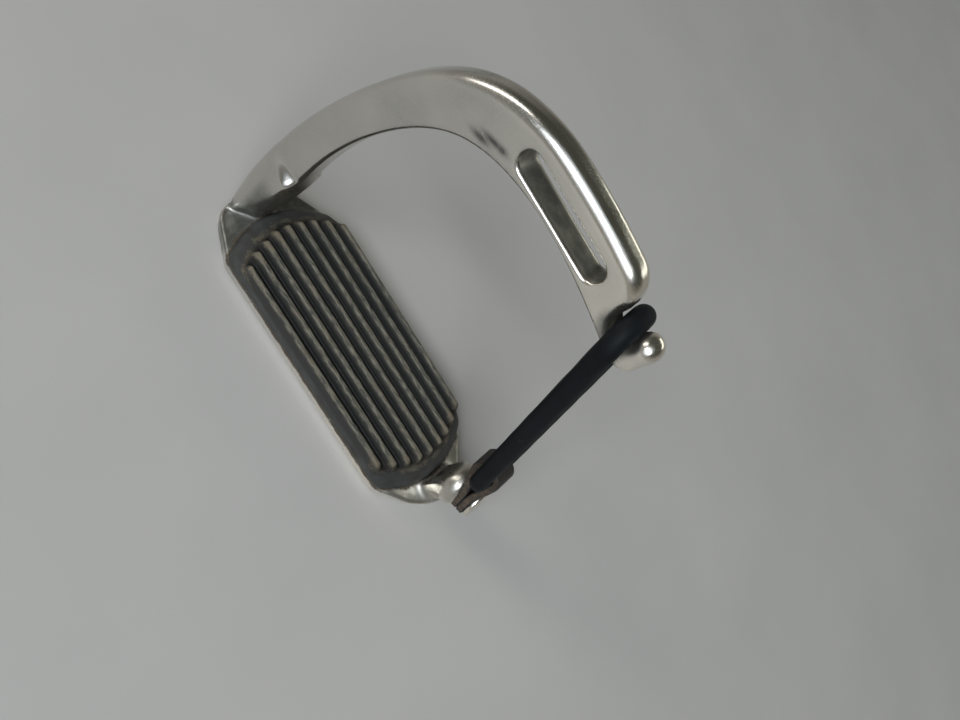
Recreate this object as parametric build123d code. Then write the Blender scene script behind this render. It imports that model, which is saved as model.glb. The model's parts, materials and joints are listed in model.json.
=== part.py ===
from build123d import *
from math import atan2, cos, radians, sin
import os

# Safety stirrup iron, size 4 1/4 in. Millimetres, +Z up. The origin is on the underside of the tread's
# centre bar. +X points to the open side with the rubber ring, -X to the closed branch, Y is fore and aft.

# The arch: one flat casting that rises from the closed branch into the crown and ends in the hook
arch_thickness = 8.6        # fore and aft
crown_under = 107.8         # underside of the crown, over the foot
branch_gap = 10.9           # from the pad's end to the branch's outer face
branch_width = 12.6         # side to side, at half height
edge_round = 1.5            # rounding of the arch's long edges
flare_foot = 8.2            # half width of the branch where it meets the tread
flare_height = 40.0         # the branch widens below this height

# The eye for the stirrup leather, cut through the crown
eye_length = 31.5
eye_height = 6.8
eye_centre_x = 1.2
eye_bar = 3.2               # bar left under the eye
eye_cover = 6.2             # metal over the eye
eye_end_bar = 8.25          # metal between the eye's end and the throat
eye_round = 0.6

# The hook: the crown's open end drops into a throat and ends in a ball
corner_radius = 8.6         # where the crown's top turns down
throat_clearance = 0.65     # each side of the ring's strand, between the crown's shoulder and the ball
toe_height = 3.8            # metal under the throat
ball_radius = 3.0

# The tread: a shallow tray whose left end carries the branch and whose right end carries the stud
tread_shelf = 8.9           # metal past each end of the pad
tread_draw_in = 2.8         # the open end is round, this much narrower than the sides
foot_corner = 8.0           # rounding of the corners beside the branch's foot
foot_flat = 1.0             # the corners' centres stand this far inside the foot's sides
tread_height = 8.4          # top of the rim
tread_taper = 11.0          # the tray's sides draw in towards the floor, degrees
corner_back = 9.0           # the corners' centres, from the pad's end
corner_round = 7.0
floor_thickness = 3.6
rim_wall = 2.2
window_length = 25.0        # two windows in the floor take the pad's plugs
window_width = 15.0
window_offset = 20.0        # from the middle to each window's centre
lip_overlap = 2.2           # the plug's lip, wider than the window
lip_thickness = 1.2
recess_depth = 1.8          # the lip sits in a recess, clear of the ground

# The rubber pad
pad_half_length = 49.3      # to the middle of the bowed ends
pad_bow = 7.8               # the corners stand this far back from the middle of the end
pad_half_width = 20.1
pad_overhang = 0.3          # the pad stands past the rim
pad_corner = 4.0
pad_rise = 8.4              # crest of the ribs over the rim
rib_count = 9
rib_side_margin = 0.27      # outside the first and last rib
rib_width = 2.7
rib_height = 2.6
rib_end_margin = 5.8        # smooth border past the middle rib's ends
pad_edge = 2.6              # rounding of the pad's upper edge
pad_clearance = 0.15        # round the pad's foot and plugs

# The boss and stud that the leather tab buttons on
stud_gap = 10.6             # from the pad's end to the stud, in the middle of the leather
stud_height = 20.8
stud_neck_radius = 3.3
stud_head_radius = 5.6
stud_head_thickness = 1.3
stud_dome = 0.9
boss_radius = 7.2
boss_length = 3.0

# The leather tab, folded round the ring's lower end
leather_thickness = 2.4
tab_waist = 8.0             # width at the fold, inside the ring
tab_end_radius = 6.0        # round end over the stud
fold_rise = 19.5            # from the stud's axis up to the fold's centre
stack_play = 0.1            # leather on the stud, end to end
neck_clearance = 0.08

# The rubber ring
strand_radius = 2.8
foot_play = 0.5             # each side of the leather, on the ring's straight foot
foot_corner_inside = 1.15   # inner radius at the foot's corners
hinge_clearance = 0.1
hook_clearance = 0.35       # between the ring and the hook's sides
bight_rise = 2.8            # the round bight stands this far over the square toe

# Sizes that follow from the ones above
crown_top = crown_under + eye_bar + eye_height + eye_cover
branch_reach = pad_half_length + branch_gap
pad_corner_x = pad_half_length - pad_bow
pad_top = tread_height + pad_rise
rib_pitch = (2 * (pad_half_width - rib_side_margin) - rib_width) / (rib_count - 1)
tread_reach = pad_half_length + tread_shelf
tread_half_width = pad_half_width - pad_overhang
tread_end_round = tread_half_width - tread_draw_in
ring_foot = tab_waist + 2 * foot_play
ring_foot_corner = strand_radius + foot_corner_inside

# The hook
throat_half = strand_radius + throat_clearance
shoulder_x = eye_centre_x + eye_length / 2 + eye_end_bar
corner_x = shoulder_x - corner_radius
throat_x = shoulder_x + throat_half
throat_floor = crown_under + 1.0
toe_under = throat_floor - toe_height
ball_x = throat_x + throat_half + ball_radius
ball_z = throat_floor + throat_half + 1.2
loop_half = arch_thickness / 2 + hook_clearance + strand_radius     # centre line, at the hook
loop_top = Vector(throat_x, 0, throat_floor + bight_rise + strand_radius)

# The ring's plane goes through the throat's middle and leans out to the stud
stud_centre = Vector(pad_half_length + stud_gap, 0, stud_height)
lean = atan2(stud_centre.X - loop_top.X, loop_top.Z - stud_centre.Z)
along = Vector(-sin(lean), 0, cos(lean))    # up the ring, towards the hook
outward = Vector(cos(lean), 0, sin(lean))   # across the ring's plane, away from the foot
fold_centre = stud_centre + along * fold_rise
stack_half = leather_thickness + stack_play / 2
ring_length = (loop_top - fold_centre).length

ring_plane = Plane(origin=fold_centre, x_dir=(0, 1, 0), z_dir=outward)      # local x = Y, local y = up the ring
stud_plane = Plane(origin=stud_centre, x_dir=(0, 1, 0), z_dir=outward)
side_plane = Plane(origin=stud_centre, x_dir=outward, z_dir=(0, -1, 0))     # local x = outward, local y = up


def arch_profile():
    """The arch seen from the front, in X and Z: outer curve, hook, underside and inner curve."""
    inner_x = -branch_reach + branch_width
    outer = [
        (-0.955 * branch_reach, 0.0),
        (-branch_reach, 0.2 * crown_top),
        (-0.955 * branch_reach, 0.43 * crown_top),
        (-0.795 * branch_reach, 0.71 * crown_top),
        (-0.51 * branch_reach, 0.93 * crown_top),
        (-0.2 * branch_reach, 0.994 * crown_top),
        (0.0, crown_top),
    ]
    inner = [
        (throat_x - 2 * throat_half, crown_under - 0.8),
        (-8.0, crown_under + 0.6),
        (0.5 * inner_x, crown_under * 0.95),
        (0.81 * inner_x, crown_under * 0.75),
        (0.955 * inner_x, crown_under * 0.5),
        (0.99 * inner_x, crown_under * 0.28),
        (1.09 * inner_x, 0.0),
    ]
    corner_top = (corner_x, crown_top - 0.8)
    shoulder = (shoulder_x, crown_top - 0.8 - corner_radius)
    corner_mid = (
        corner_x + corner_radius * sin(radians(45)),
        crown_top - 0.8 - corner_radius * (1 - cos(radians(45))),
    )
    throat_left = (throat_x - throat_half, throat_floor + throat_half)
    throat_mid = (throat_x, throat_floor)
    throat_right = (throat_x + throat_half, throat_floor + throat_half)
    ball_left = (ball_x - ball_radius, ball_z)
    ball_crest = (ball_x, ball_z + ball_radius)
    ball_right = (ball_x + ball_radius, ball_z)
    toe_radius = ball_z - toe_under
    toe_centre_x = ball_x + ball_radius - toe_radius
    toe_low = (toe_centre_x, toe_under)
    toe_mid = (toe_centre_x + toe_radius * sin(radians(45)), ball_z - toe_radius * sin(radians(45)))
    edges = [
        Spline(*outer, tangents=[(-0.25, 1), (1, 0.02)]),
        Spline(outer[-1], corner_top, tangents=[(1, 0.0), (1, 0.0)]),
        ThreePointArc(corner_top, corner_mid, shoulder),
        Line(shoulder, throat_left),
        ThreePointArc(throat_left, throat_mid, throat_right),
        Line(throat_right, ball_left),
        ThreePointArc(ball_left, ball_crest, ball_right),
        ThreePointArc(ball_right, toe_mid, toe_low),
        Spline(toe_low, *inner, tangents=[(-1, 0), (-0.2, -1)]),
        Line(inner[-1], outer[0]),
    ]
    return make_face(Wire(edges))


def branch_flare(profile):
    """The lower branch, widening fore and aft from the flat arch down to the tread."""
    half = arch_thickness / 2 - 0.4
    side_view = Polyline(
        (-flare_foot, 0),
        (flare_foot, 0),
        (flare_foot, tread_height),
        (half, flare_height),
        (-half, flare_height),
        (-flare_foot, tread_height),
        close=True,
    )
    wedge = extrude(Plane.YZ * make_face(side_view), amount=-2 * branch_reach)
    return extrude(profile, amount=flare_foot + 1, both=True) & wedge


def arch():
    """The flat arch with rounded edges and the eye cut through its crown, and the wider foot of its branch."""
    profile = Plane.XZ * arch_profile()
    slab = extrude(profile, amount=arch_thickness / 2, both=True)
    outside = slab.faces().filter_by(Axis.Y).edges().filter_by(lambda e: e.center().Z > 1)
    slab = fillet(outside, edge_round)
    eye_z = crown_under + eye_bar + eye_height / 2
    eye = Plane.XZ * Pos(eye_centre_x, eye_z) * SlotOverall(eye_length, eye_height)
    slab -= extrude(eye, amount=arch_thickness, both=True)
    around_eye = slab.edges().filter_by(
        lambda e: abs(e.center().Z - eye_z) < eye_height / 2 + 0.1
        and abs(e.center().X - eye_centre_x) < eye_length / 2 + 0.1
        and abs(abs(e.center().Y) - arch_thickness / 2) < 0.01
    )
    return fillet(around_eye, eye_round) + branch_flare(profile)


def tread_outline():
    """The tray seen from above: straight sides, a fuller end round the branch's foot and a half-round open end."""
    inset_x = pad_half_length - corner_back
    inset_y = tread_half_width - corner_round
    circles = (Pos(tread_reach - tread_end_round, 0) * Circle(tread_end_round)).edges()
    for y in (-1, 1):
        circles += (Pos(foot_corner - tread_reach, y * (flare_foot - foot_flat)) * Circle(foot_corner)).edges()
        for x in (-1, 1):
            circles += (Pos(x * inset_x, y * inset_y) * Circle(corner_round)).edges()
    return make_hull(circles)


def pad_outline(inset=0.0):
    """The pad seen from above: straight long sides and bowed ends, drawn in by the inset."""
    corner_x_pad = pad_corner_x - inset * 0.8
    half_width = pad_half_width - inset
    end_x = pad_half_length - inset
    right = ThreePointArc((corner_x_pad, -half_width), (end_x, 0), (corner_x_pad, half_width))
    left = ThreePointArc((-corner_x_pad, half_width), (-end_x, 0), (-corner_x_pad, -half_width))
    top = Line((corner_x_pad, half_width), (-corner_x_pad, half_width))
    bottom = Line((-corner_x_pad, -half_width), (corner_x_pad, -half_width))
    face = make_face(Wire([right, top, left, bottom]))
    return fillet(face.vertices(), pad_corner)


def stud():
    """Boss, neck and domed head on one axis, square to the leather tab. The boss grows out of the tray's end."""
    face_plane = stud_plane.offset(-stack_half)
    boss = extrude(face_plane * Circle(boss_radius), amount=-boss_length)
    boss = fillet(boss.faces().sort_by(Axis.X)[-1:].edges(), 0.8)
    root = Pos((pad_half_length + tread_reach - rim_wall) / 2, 0, tread_height / 2)
    root_face = root * RectangleRounded(tread_shelf - rim_wall, 2 * boss_radius, rim_wall)
    arm = loft([root_face.face(), (stud_plane.offset(-stack_half - boss_length + 0.5) * Circle(boss_radius)).face()])
    neck = extrude(stud_plane.offset(-stack_half - 1) * Circle(stud_neck_radius), amount=2 * stack_half + 2)
    sphere_radius = (stud_head_radius**2 + stud_dome**2) / (2 * stud_dome)
    head_plane = stud_plane.offset(stack_half)
    head = extrude(head_plane * Circle(stud_head_radius), amount=stud_head_thickness + stud_dome)
    head &= head_plane.offset(stud_head_thickness + stud_dome - sphere_radius) * Sphere(sphere_radius)
    return boss + arm + neck + head


def frame():
    """One casting: tray, branch, crown, hook, boss and stud."""
    bottom_inset = tread_height * sin(radians(tread_taper))
    outline = offset(tread_outline(), amount=-bottom_inset)
    tray = extrude(outline, amount=tread_height, taper=-tread_taper)
    under = Box(4 * branch_reach, 4 * tread_half_width, tread_height, align=(Align.CENTER, Align.CENTER, Align.MAX))
    body = tray + (arch() - Pos(0, 0, tread_height / 2) * under) + stud()
    body -= Box(4 * branch_reach, 4 * tread_half_width, 20, align=(Align.CENTER, Align.CENTER, Align.MAX))
    pocket = Pos(0, 0, floor_thickness) * extrude(pad_outline(rim_wall), amount=pad_top)
    body -= pocket
    over_pad = Pos(0, 0, tread_height) * extrude(pad_outline(-pad_clearance), amount=pad_top - tread_height + 0.3)
    body -= over_pad
    for side in (-1, 1):
        window = Pos(side * window_offset, 0, floor_thickness / 2)
        body -= window * Box(window_length, window_width, 2 * floor_thickness)
        recess = Pos(side * window_offset, 0, recess_depth / 2)
        grow = 2 * (lip_overlap + 0.6)
        body -= recess * Box(window_length + grow, window_width + grow, recess_depth)
    return body


def tread_pad():
    """Rubber pad: a foot in the tray's pocket, two plugs with lips under the floor, and rounded ribs on top."""
    deck = pad_top - rib_height
    foot_height = tread_height - floor_thickness
    foot = Pos(0, 0, floor_thickness) * extrude(pad_outline(rim_wall + pad_clearance), amount=foot_height)
    slab = Pos(0, 0, tread_height) * extrude(pad_outline(), amount=deck - tread_height)
    slab = fillet(slab.edges().group_by(Axis.Z)[-1], pad_edge)
    body = foot + slab
    end_bow = pad_bow / pad_half_width**2
    for n in range(rib_count):
        y = (n - (rib_count - 1) / 2) * rib_pitch
        length = 2 * (pad_half_length - rib_end_margin - end_bow * y**2)
        rib = extrude(SlotOverall(length, rib_width), amount=rib_height + 1)
        rib = fillet(rib.edges().group_by(Axis.Z)[-1], rib_width * 0.4)
        body += Pos(0, y, deck - 1) * rib
    plug_length = window_length - 2 * pad_clearance
    plug_width = window_width - 2 * pad_clearance
    for side in (-1, 1):
        x = side * window_offset
        low = recess_depth - lip_thickness
        align = (Align.CENTER, Align.CENTER, Align.MIN)
        body += Pos(x, 0, low) * Box(plug_length, plug_width, floor_thickness - low + 1, align=align)
        lip = Box(plug_length + 2 * lip_overlap, plug_width + 2 * lip_overlap, lip_thickness, align=align)
        body += Pos(x, 0, low) * lip
    return body


def rubber_ring():
    """Round strand stretched into a long loop: straight foot in the leather fold, round bight over the hook."""
    low_x = ring_foot / 2 + ring_foot_corner
    corners = [(-low_x, 0), (low_x, 0), (loop_half, ring_length), (-loop_half, ring_length)]
    bight_radius = loop_half * 0.96
    radii = [ring_foot_corner, ring_foot_corner, bight_radius, bight_radius]
    path = ring_plane.from_local_coords(FilletPolyline(*corners, radius=radii, close=True).wire())
    section = Plane(origin=path @ 0, z_dir=path % 0) * Circle(strand_radius)
    return sweep(section, path=path)


def leather_tab():
    """Strap folded through the ring: two legs meet on the stud, waisted at the fold, round at the ends."""
    inside = strand_radius + hinge_clearance
    outside = inside + leather_thickness
    stack = leather_thickness
    play = stack_play / 4
    spread = fold_rise * 0.72
    meet = fold_rise * 0.3
    end = -tab_end_radius - 1
    outer = Wire(
        [
            Line((-stack - play, end), (-stack - play, meet)),
            Spline((-stack - play, meet), (-outside, fold_rise), tangents=[(0, 1), (0, 1)]),
            ThreePointArc((-outside, fold_rise), (0, fold_rise + outside), (outside, fold_rise)),
            Spline((outside, fold_rise), (stack + play, meet), tangents=[(0, -1), (0, -1)]),
            Line((stack + play, meet), (stack + play, end)),
            Line((stack + play, end), (play, end)),
            Line((play, end), (play, meet)),
            Spline((play, meet), (inside, spread + 2), (inside, fold_rise), tangents=[(0, 1), (0, 1)]),
            ThreePointArc((inside, fold_rise), (0, fold_rise + inside), (-inside, fold_rise)),
            Spline((-inside, fold_rise), (-inside, spread + 2), (-play, meet), tangents=[(0, -1), (0, -1)]),
            Line((-play, meet), (-play, end)),
            Line((-play, end), (-stack - play, end)),
        ]
    )
    strap = extrude(side_plane * make_face(outer), amount=tab_end_radius + 1, both=True)
    top = fold_rise + outside + 2
    half_waist = tab_waist / 2
    neck_y = tab_end_radius * 0.75
    face = make_face(
        Wire(
            [
                ThreePointArc((-tab_end_radius, 0), (0, -tab_end_radius), (tab_end_radius, 0)),
                Spline((tab_end_radius, 0), (half_waist, neck_y + 5), tangents=[(0, 1), (0, 1)]),
                Line((half_waist, neck_y + 5), (half_waist, top)),
                Line((half_waist, top), (-half_waist, top)),
                Line((-half_waist, top), (-half_waist, neck_y + 5)),
                Spline((-half_waist, neck_y + 5), (-tab_end_radius, 0), tangents=[(0, -1), (0, -1)]),
            ]
        )
    )
    strap &= extrude(stud_plane * face, amount=3 * outside, both=True)
    hole = extrude(stud_plane * Circle(stud_neck_radius + neck_clearance), amount=3 * outside, both=True)
    return strap - hole


def main():
    os.makedirs("parts", exist_ok=True)
    pieces = {
        "frame": frame(),
        "tread_pad": tread_pad(),
        "rubber_ring": rubber_ring(),
        "leather_tab": leather_tab(),
    }
    for name, piece in pieces.items():
        export_step(piece, f"parts/{name}.step")
    print("ring hinge at", fold_centre, "stud at", stud_centre, "ring length", round(ring_length, 2))


main()
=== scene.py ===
import json
import bmesh
import bpy
import numpy as np
from mathutils import Matrix, Vector


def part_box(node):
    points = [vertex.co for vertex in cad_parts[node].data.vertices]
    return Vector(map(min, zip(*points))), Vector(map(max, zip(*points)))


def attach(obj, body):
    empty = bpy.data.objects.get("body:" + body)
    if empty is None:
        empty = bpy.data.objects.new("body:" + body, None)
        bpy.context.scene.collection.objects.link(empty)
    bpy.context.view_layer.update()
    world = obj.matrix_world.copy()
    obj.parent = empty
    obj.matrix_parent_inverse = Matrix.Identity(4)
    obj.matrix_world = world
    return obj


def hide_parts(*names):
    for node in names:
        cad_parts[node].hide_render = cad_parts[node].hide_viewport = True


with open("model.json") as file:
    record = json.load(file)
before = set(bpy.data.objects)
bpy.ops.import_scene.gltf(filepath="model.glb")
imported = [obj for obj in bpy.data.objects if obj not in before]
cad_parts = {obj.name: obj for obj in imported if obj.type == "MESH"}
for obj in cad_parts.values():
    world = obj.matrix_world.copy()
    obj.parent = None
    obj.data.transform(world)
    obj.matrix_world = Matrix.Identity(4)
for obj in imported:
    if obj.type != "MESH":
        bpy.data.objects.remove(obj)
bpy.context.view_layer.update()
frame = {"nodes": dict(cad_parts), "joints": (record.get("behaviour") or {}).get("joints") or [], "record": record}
mm = 0.001
print("frame loaded:", ", ".join(sorted(frame["nodes"])))

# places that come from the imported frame, in millimetres
frameLow, frameHigh = (np.array(corner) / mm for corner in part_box("frame"))
padLow, padHigh = (np.array(corner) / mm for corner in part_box("tread_pad"))
ringHigh = np.array(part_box("rubber_ring")[1]) / mm
eyeMount = next(m for m in frame["record"]["mounts"] if m["name"] == "leather_eye")
eyeCentre = np.array(eyeMount["pos_m"]) / mm
foldCentre = np.array(frame["joints"][0]["pos_m"]) / mm


# A natural cubic spline through the points, with the running chord length as its parameter.
def smoothCurve(points, step=0.3):
    points = np.array(points, float)
    knots = np.concatenate([[0], np.cumsum(np.linalg.norm(np.diff(points, axis=0), axis=1))])
    gaps = np.diff(knots)
    count = len(points)
    matrix = np.eye(count)
    right = np.zeros_like(points)
    for i in range(1, count - 1):
        matrix[i, i - 1:i + 2] = gaps[i - 1], 2 * (gaps[i - 1] + gaps[i]), gaps[i]
        right[i] = 6 * ((points[i + 1] - points[i]) / gaps[i] - (points[i] - points[i - 1]) / gaps[i - 1])
    bend = np.linalg.solve(matrix, right)
    at = np.linspace(0, knots[-1], max(int(knots[-1] / step), 8))
    i = np.clip(np.searchsorted(knots, at, side="right") - 1, 0, count - 2)
    h = gaps[i][:, None]
    a = (knots[i + 1] - at)[:, None] / h
    b = (at - knots[i])[:, None] / h
    cubic = ((a**3 - a) * bend[i] + (b**3 - b) * bend[i + 1]) * h**2 / 6
    return a * points[i] + b * points[i + 1] + cubic


# Points on a circle from the start angle to the stop angle, in degrees.
def arcPoints(centre, radius, start, stop, step=0.3):
    count = max(int(abs(np.radians(stop - start)) * radius / step), 4)
    turn = np.radians(np.linspace(start, stop, count))
    return np.stack([centre[0] + radius * np.cos(turn), centre[1] + radius * np.sin(turn)], 1)


# The closed outline with long straight runs divided, and doubled points dropped.
def refine(outline, step=0.4):
    outline = np.asarray(outline, float)
    after = np.roll(outline, -1, axis=0)
    keep = np.linalg.norm(after - outline, axis=1) > 1e-4
    outline, after = outline[keep], after[keep]
    parts = np.maximum((np.linalg.norm(after - outline, axis=1) / step).astype(int), 1)
    owner = np.repeat(np.arange(len(outline)), parts)
    first = np.cumsum(parts) - parts
    share = (np.arange(len(owner)) - first[owner]) / parts[owner]
    return outline[owner] + (after - outline)[owner] * share[:, None]


# Signed distance to a closed counterclockwise outline, less than nothing inside, on a square net.
# Returns a function of two coordinates that reads the net with cubic weights, so it is smooth.
def distanceMap(outline, margin=9.0, step=0.5):
    outline = refine(outline)
    after = np.roll(outline, -1, axis=0)
    run = after - outline
    low = outline.min(0) - margin
    size = np.ceil((outline.max(0) + margin - low) / step).astype(int) + 1
    net = np.stack(np.meshgrid(*[low[k] + step * np.arange(size[k]) for k in (0, 1)], indexing="ij"), -1)
    flat = net.reshape(-1, 2)
    signed = np.zeros(len(flat))
    for chunk in np.array_split(np.arange(len(flat)), max(len(flat) // 4000, 1)):
        away = flat[chunk][:, None, :] - outline[None]
        share = np.clip((away * run).sum(-1) / (run**2).sum(-1), 0, 1)
        gap = away - share[..., None] * run
        square = (gap**2).sum(-1)
        nearest = square.argmin(1)
        rows = np.arange(len(chunk))
        turn = run[nearest, 0] * away[rows, nearest, 1] - run[nearest, 1] * away[rows, nearest, 0]
        signed[chunk] = np.sqrt(square[rows, nearest]) * np.where(turn > 0, -1, 1)
    values = signed.reshape(size)

    def read(u, v):
        a, b = (u - low[0]) / step, (v - low[1]) / step
        i = np.clip(np.floor(a).astype(int), 1, size[0] - 3)
        j = np.clip(np.floor(b).astype(int), 1, size[1] - 3)
        a, b = np.clip(a - i, -1, 2), np.clip(b - j, -1, 2)
        total = 0
        for k, weightU in enumerate(cubicWeights(a)):
            for m, weightV in enumerate(cubicWeights(b)):
                total = total + weightU * weightV * values[i + k - 1, j + m - 1]
        return total

    return read


# Catmull-Rom weights of the four neighbours.
def cubicWeights(t):
    return (
        ((-0.5 * t + 1) * t - 0.5) * t,
        (1.5 * t - 2.5) * t * t + 1,
        ((-1.5 * t + 2) * t + 0.5) * t,
        (0.5 * t - 0.5) * t * t,
    )


# 0 below low, 1 above high and a smooth S between.
def ease(value, low, high):
    t = np.clip((value - low) / (high - low), 0, 1)
    return t * t * (3 - 2 * t)


# Where both are inside, with a round edge of that radius.
def meet(a, b, radius):
    u, v = np.maximum(a + radius, 0), np.maximum(b + radius, 0)
    return np.minimum(np.maximum(a, b), -radius) + np.sqrt(u * u + v * v)


# Where either is inside, with a fillet of about that radius.
def blendIn(a, b, radius):
    h = np.maximum(radius - np.abs(a - b), 0) / radius
    return np.minimum(a, b) - h * h * h * radius / 6


# a without b, with a round rim.
def cutFrom(a, b, radius):
    return meet(a, -b, radius)


# Distance to a box from its two corners.
def boxField(x, y, z, low, high):
    qx = np.abs(x - (low[0] + high[0]) / 2) - (high[0] - low[0]) / 2
    qy = np.abs(y - (low[1] + high[1]) / 2) - (high[1] - low[1]) / 2
    qz = np.abs(z - (low[2] + high[2]) / 2) - (high[2] - low[2]) / 2
    outside = np.sqrt(np.maximum(qx, 0)**2 + np.maximum(qy, 0)**2 + np.maximum(qz, 0)**2)
    return outside + np.minimum(np.maximum(np.maximum(qx, qy), qz), 0)


# Slow unevenness between -1 and 1: a sum of five sine waves in scattered directions.
def waves(x, y, z, size, seed):
    draw = np.random.default_rng(seed)
    total = 0
    for turn in range(5):
        direction = draw.normal(size=3)
        direction *= (1 + 0.35 * turn) * 2 * np.pi / (size * np.linalg.norm(direction))
        start = draw.uniform(0, 6.28)
        total = total + np.sin(x * direction[0] + y * direction[1] + z * direction[2] + start)
    return total / 5


# The surface where the field is nothing. Each cell of a cubic net that the surface crosses gets one
# point, the mean of its edges' crossings, and four neighbours make a face. The points then slide down
# the field's slope onto the surface itself.
def skinOf(field, low, high, step):
    axes = [np.arange(low[k] - 1.5 * step, high[k] + 2.5 * step, step) for k in range(3)]
    values = np.asarray(field(axes[0][:, None, None], axes[1][None, :, None], axes[2][None, None, :]))
    inside = values < 0
    cells = tuple(n - 1 for n in values.shape)
    shifts = np.array([[i, j, k] for i in (0, 1) for j in (0, 1) for k in (0, 1)])
    count = 0
    for i, j, k in shifts:
        count = count + inside[i:i + cells[0], j:j + cells[1], k:k + cells[2]].astype(np.int8)
    crossed = np.argwhere((count > 0) & (count < 8))
    number = -np.ones(cells, int)
    number[tuple(crossed.T)] = np.arange(len(crossed))
    corner = np.stack([values[tuple((crossed + s).T)] for s in shifts], 1)
    total, hits = np.zeros((len(crossed), 3)), np.zeros(len(crossed))
    for a in range(8):
        for b in range(a + 1, 8):
            if np.abs(shifts[a] - shifts[b]).sum() != 1:
                continue
            crosses = (corner[:, a] < 0) != (corner[:, b] < 0)
            share = np.where(crosses, corner[:, a] / np.where(crosses, corner[:, a] - corner[:, b], 1), 0)
            point = shifts[a] + share[:, None] * (shifts[b] - shifts[a])
            total += point * crosses[:, None]
            hits += crosses
    start = np.array([axis[0] for axis in axes])
    points = start + step * (crossed + total / hits[:, None])
    quads = []
    for axis in range(3):
        others = [(axis + 1) % 3, (axis + 2) % 3]
        before = [slice(None)] * 3
        beyond = [slice(None)] * 3
        before[axis], beyond[axis] = slice(0, -1), slice(1, None)
        changes = np.argwhere(inside[tuple(before)] != inside[tuple(beyond)])
        changes = changes[(changes[:, others] > 0).all(1)]
        ring = []
        for back in ((1, 1), (0, 1), (0, 0), (1, 0)):
            cell = changes.copy()
            cell[:, others[0]] -= back[0]
            cell[:, others[1]] -= back[1]
            ring.append(number[tuple(cell.T)])
        ring = np.stack(ring, 1)
        leaving = inside[tuple(changes.T)]
        quads.append(np.where(leaving[:, None], ring, ring[:, ::-1]))
    return settle(field, points, step), np.concatenate(quads)


# The field and its gradient at the points, by small differences.
def slopeOf(field, points, reach=0.02):
    here = field(*points.T)
    slope = np.zeros_like(points)
    for k in range(3):
        aside = points.copy()
        aside[:, k] += reach
        ahead = field(*aside.T)
        aside[:, k] -= 2 * reach
        slope[:, k] = (ahead - field(*aside.T)) / (2 * reach)
    return here, slope


# Moves points along the gradient until the field is nothing there, never further than a third of a
# cell at a time.
def settle(field, points, step):
    for _ in range(4):
        here, slope = slopeOf(field, points)
        move = -here[:, None] * slope / np.maximum((slope**2).sum(1), 0.04)[:, None]
        length = np.linalg.norm(move, axis=1)[:, None]
        points = points + move * np.minimum(1, 0.35 * step / np.maximum(length, 1e-9))
    return points


# One smooth object at the origin, its points given in millimetres, with a float attribute for each
# mask.
def makeMesh(name, points, faces, masks=None):
    mesh = bpy.data.meshes.new(name)
    mesh.vertices.add(len(points))
    mesh.vertices.foreach_set("co", (points * mm).astype(np.float32).ravel())
    mesh.loops.add(faces.size)
    mesh.loops.foreach_set("vertex_index", faces.astype(np.int32).ravel())
    mesh.polygons.add(len(faces))
    mesh.polygons.foreach_set("loop_start", np.arange(0, faces.size, 4, dtype=np.int32))
    mesh.polygons.foreach_set("use_smooth", np.ones(len(faces), bool))
    mesh.update(calc_edges=True)
    for maskName, values in (masks or {}).items():
        mesh.attributes.new(maskName, "FLOAT", "POINT").data.foreach_set("value", values.astype(np.float32))
    piece = bpy.data.objects.new(name, mesh)
    bpy.context.scene.collection.objects.link(piece)
    print(f"{name}: {len(points)} points, {len(faces)} faces")
    return piece


# Faces of a net whose columns close on themselves.
def gridFaces(rows, columns):
    a = (np.arange(rows - 1)[:, None] * columns + np.arange(columns)[None]).ravel()
    b = (np.arange(rows - 1)[:, None] * columns + (np.arange(columns)[None] + 1) % columns).ravel()
    return np.stack([a, b, b + columns, a + columns], 1)


casting = {
    "thickness": 8.6,           # of the arch, fore and aft
    "outerRound": 3.3,          # rounding of the crown's and branch's outer edges
    "innerRound": 1.4,
    "eyeLength": 31.5,
    "eyeHeight": 6.8,
    "eyeBar": 3.2,              # metal under the eye
    "eyeEndBar": 8.25,          # metal between the eye's end and the throat
    "eyeRound": 1.1,
    "flareTop": 40.0,           # the branch widens below this height
    "flareFoot": 8.7,           # half width at the tread
    "ledge": 2.8,               # step outwards at the flare's top
    "facet": 6.5,               # width of the flare's inner facet at the foot
    "branchWidth": 12.6,        # side to side, at half height
    "throatRadius": 3.45,
    "toeHeight": 3.8,           # metal under the throat
    "cornerRadius": 8.6,
    "ballRadius": 3.3,
    "treadHeight": 8.4,
    "treadTaper": 11.0,         # degrees
    "floorThickness": 3.6,
    "trayEnd": 8.9,             # metal past each end of the pad
    "trayDrawIn": 2.8,          # the open end is this much narrower than the sides
    "trayCornerBack": 9.0,
    "trayCornerRound": 7.0,
    "footCorner": 8.0,          # rounding of the corners beside the branch's foot
    "footCornerAt": 7.2,
    "windowAt": 20.0,           # middle of each window in the floor
    "bossRadius": 7.2,
    "bossReach": 2.45,          # the boss's face, from the middle of the leather
    "neckRadius": 3.3,
    "headRadius": 5.6,
    "headThickness": 1.5,
    "headDome": 0.9,
    "step": 0.6,
}
crownTop = frameHigh[2]
branchReach = -frameLow[0]
crownUnder = eyeCentre[2] - casting["eyeHeight"] / 2 - casting["eyeBar"]
shoulderX = eyeCentre[0] + casting["eyeLength"] / 2 + casting["eyeEndBar"]
throatX = shoulderX + casting["throatRadius"]
throatFloor = crownUnder + 1.0
ballX = throatX + casting["throatRadius"] + 3.0
ballZ = throatFloor + casting["throatRadius"] + 1.2
ringTop = np.array([throatX, 0.0, ringHigh[2] - 2.8])
ringAxis = (ringTop - foldCentre) / np.linalg.norm(ringTop - foldCentre)   # up the ring
ringNormal = np.array([ringAxis[2], 0.0, -ringAxis[0]])     # away from the foot, square to the tab
foldRise = 19.5             # from the stud's axis up to the middle of the leather's fold
studCentre = foldCentre - ringAxis * foldRise


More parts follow.
